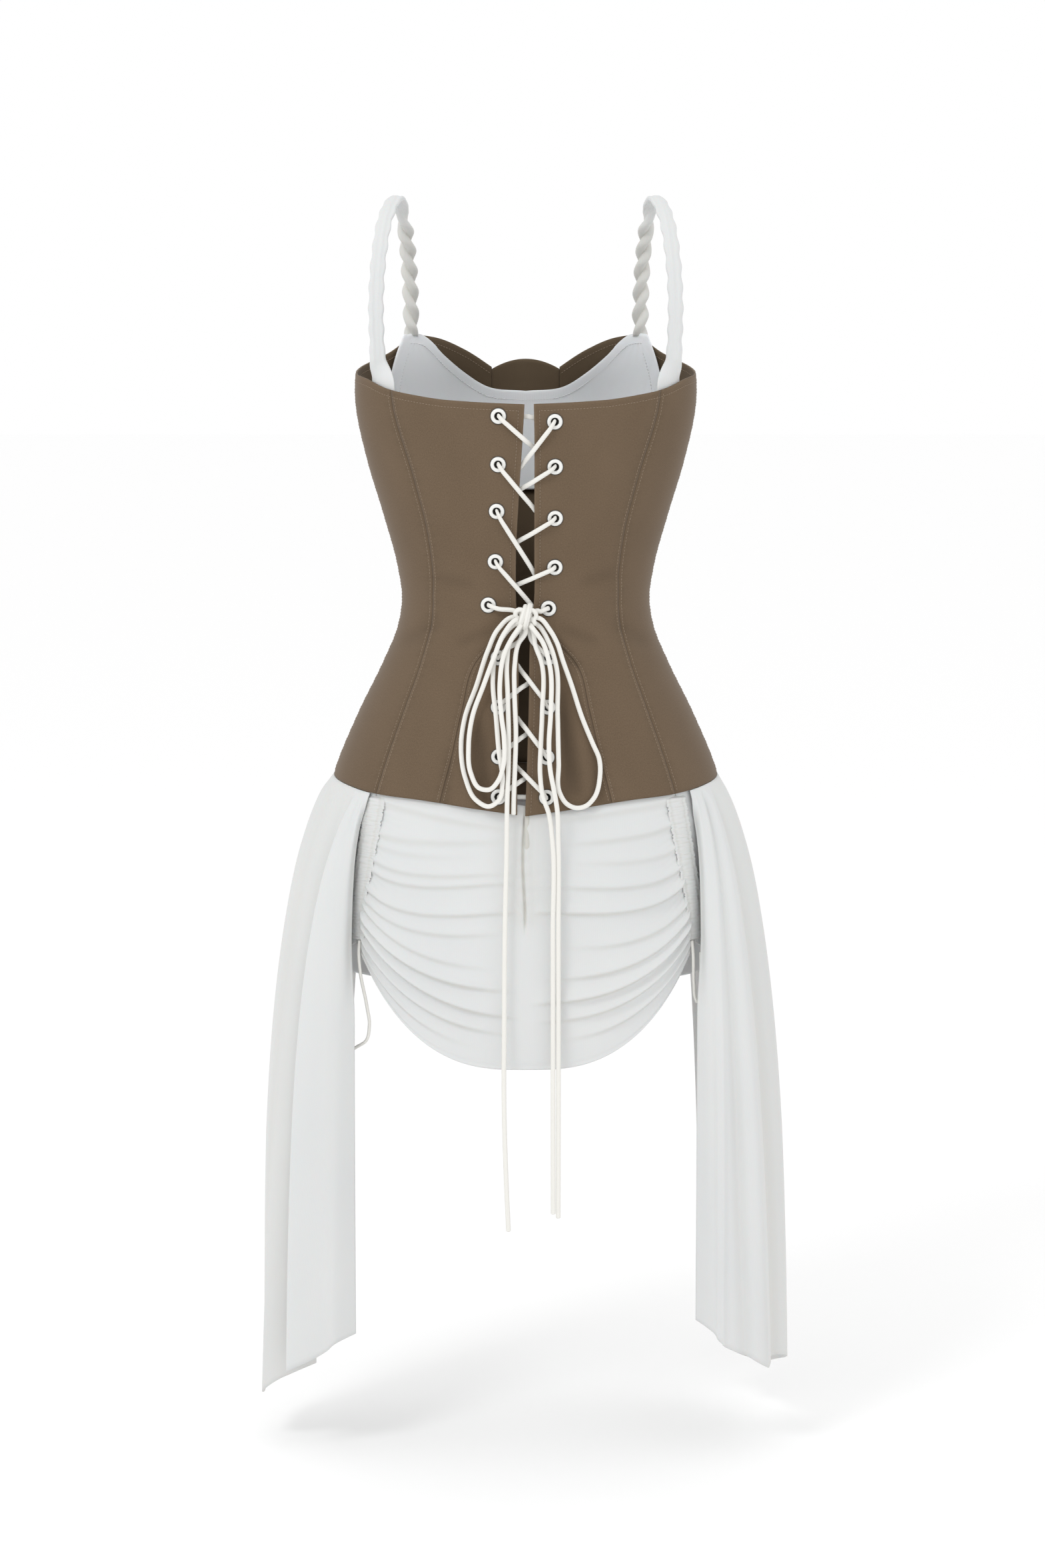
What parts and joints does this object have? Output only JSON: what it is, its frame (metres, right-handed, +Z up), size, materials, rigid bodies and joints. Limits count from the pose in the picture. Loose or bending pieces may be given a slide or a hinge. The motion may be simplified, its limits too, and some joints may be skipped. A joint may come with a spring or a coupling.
{
  "type": "corset dress",
  "caption": "Sleeveless corset dress, filled out: brown boned bodice laced up the back with a bow, twisted white straps, short ruched white skirt and two long side drapes.",
  "frame": {"origin": "midway between the undersides of the two strap tops, where the wearer's shoulders carry the dress", "axes": "+Z up the garment, -Y towards its laced back, +Y towards its front, +X towards the wearer's right"},
  "size_m": [0.495, 0.2434, 1.1193],
  "materials": {
    "suiting_brown": "matt twill",
    "jersey_white": "matt jersey",
    "lace_white": "matt braid",
    "enamel_white": "satin enamel"
  },
  "bodies": {
    "root": {"corset_back_left": "suiting_brown", "corset_back_right": "suiting_brown", "corset_back_gore_left": "suiting_brown", "corset_back_gore_right": "suiting_brown", "corset_side_back_left": "suiting_brown", "corset_side_back_right": "suiting_brown", "corset_side_front_left": "suiting_brown", "corset_side_front_right": "suiting_brown", "corset_front_left": "suiting_brown", "corset_front_right": "suiting_brown", "corset_centre_front": "suiting_brown", "camisole_bust": "jersey_white", "strap_left_strand_1": "jersey_white", "strap_left_strand_2": "jersey_white", "strap_right_strand_1": "jersey_white", "strap_right_strand_2": "jersey_white", "strap_tab_left": "jersey_white", "strap_tab_right": "jersey_white", "skirt_back": "jersey_white", "skirt_front": "jersey_white", "ruching_channel_left": "jersey_white", "ruching_channel_right": "jersey_white", "drape_left": "jersey_white", "drape_right": "jersey_white", "lace_upper_left": "lace_white", "lace_upper_right": "lace_white", "lace_lower_left": "lace_white", "lace_lower_right": "lace_white", "lace_knot": "lace_white", "bow_loop_left_outer": "lace_white", "bow_loop_left_inner": "lace_white", "bow_loop_right": "lace_white", "lace_tail_left": "lace_white", "lace_tail_left_short": "lace_white", "lace_tail_right_inner": "lace_white", "lace_tail_right_outer": "lace_white", "drawstring_left": "lace_white", "drawstring_right": "lace_white", "eyelet_left_1": "enamel_white", "eyelet_left_2": "enamel_white", "eyelet_left_3": "enamel_white", "eyelet_left_4": "enamel_white", "eyelet_left_5": "enamel_white", "eyelet_left_6": "enamel_white", "eyelet_left_7": "enamel_white", "eyelet_left_8": "enamel_white", "eyelet_left_9": "enamel_white", "eyelet_right_1": "enamel_white", "eyelet_right_2": "enamel_white", "eyelet_right_3": "enamel_white", "eyelet_right_4": "enamel_white", "eyelet_right_5": "enamel_white", "eyelet_right_6": "enamel_white", "eyelet_right_7": "enamel_white", "eyelet_right_8": "enamel_white", "eyelet_right_9": "enamel_white"}
  },
  "joints": []
}
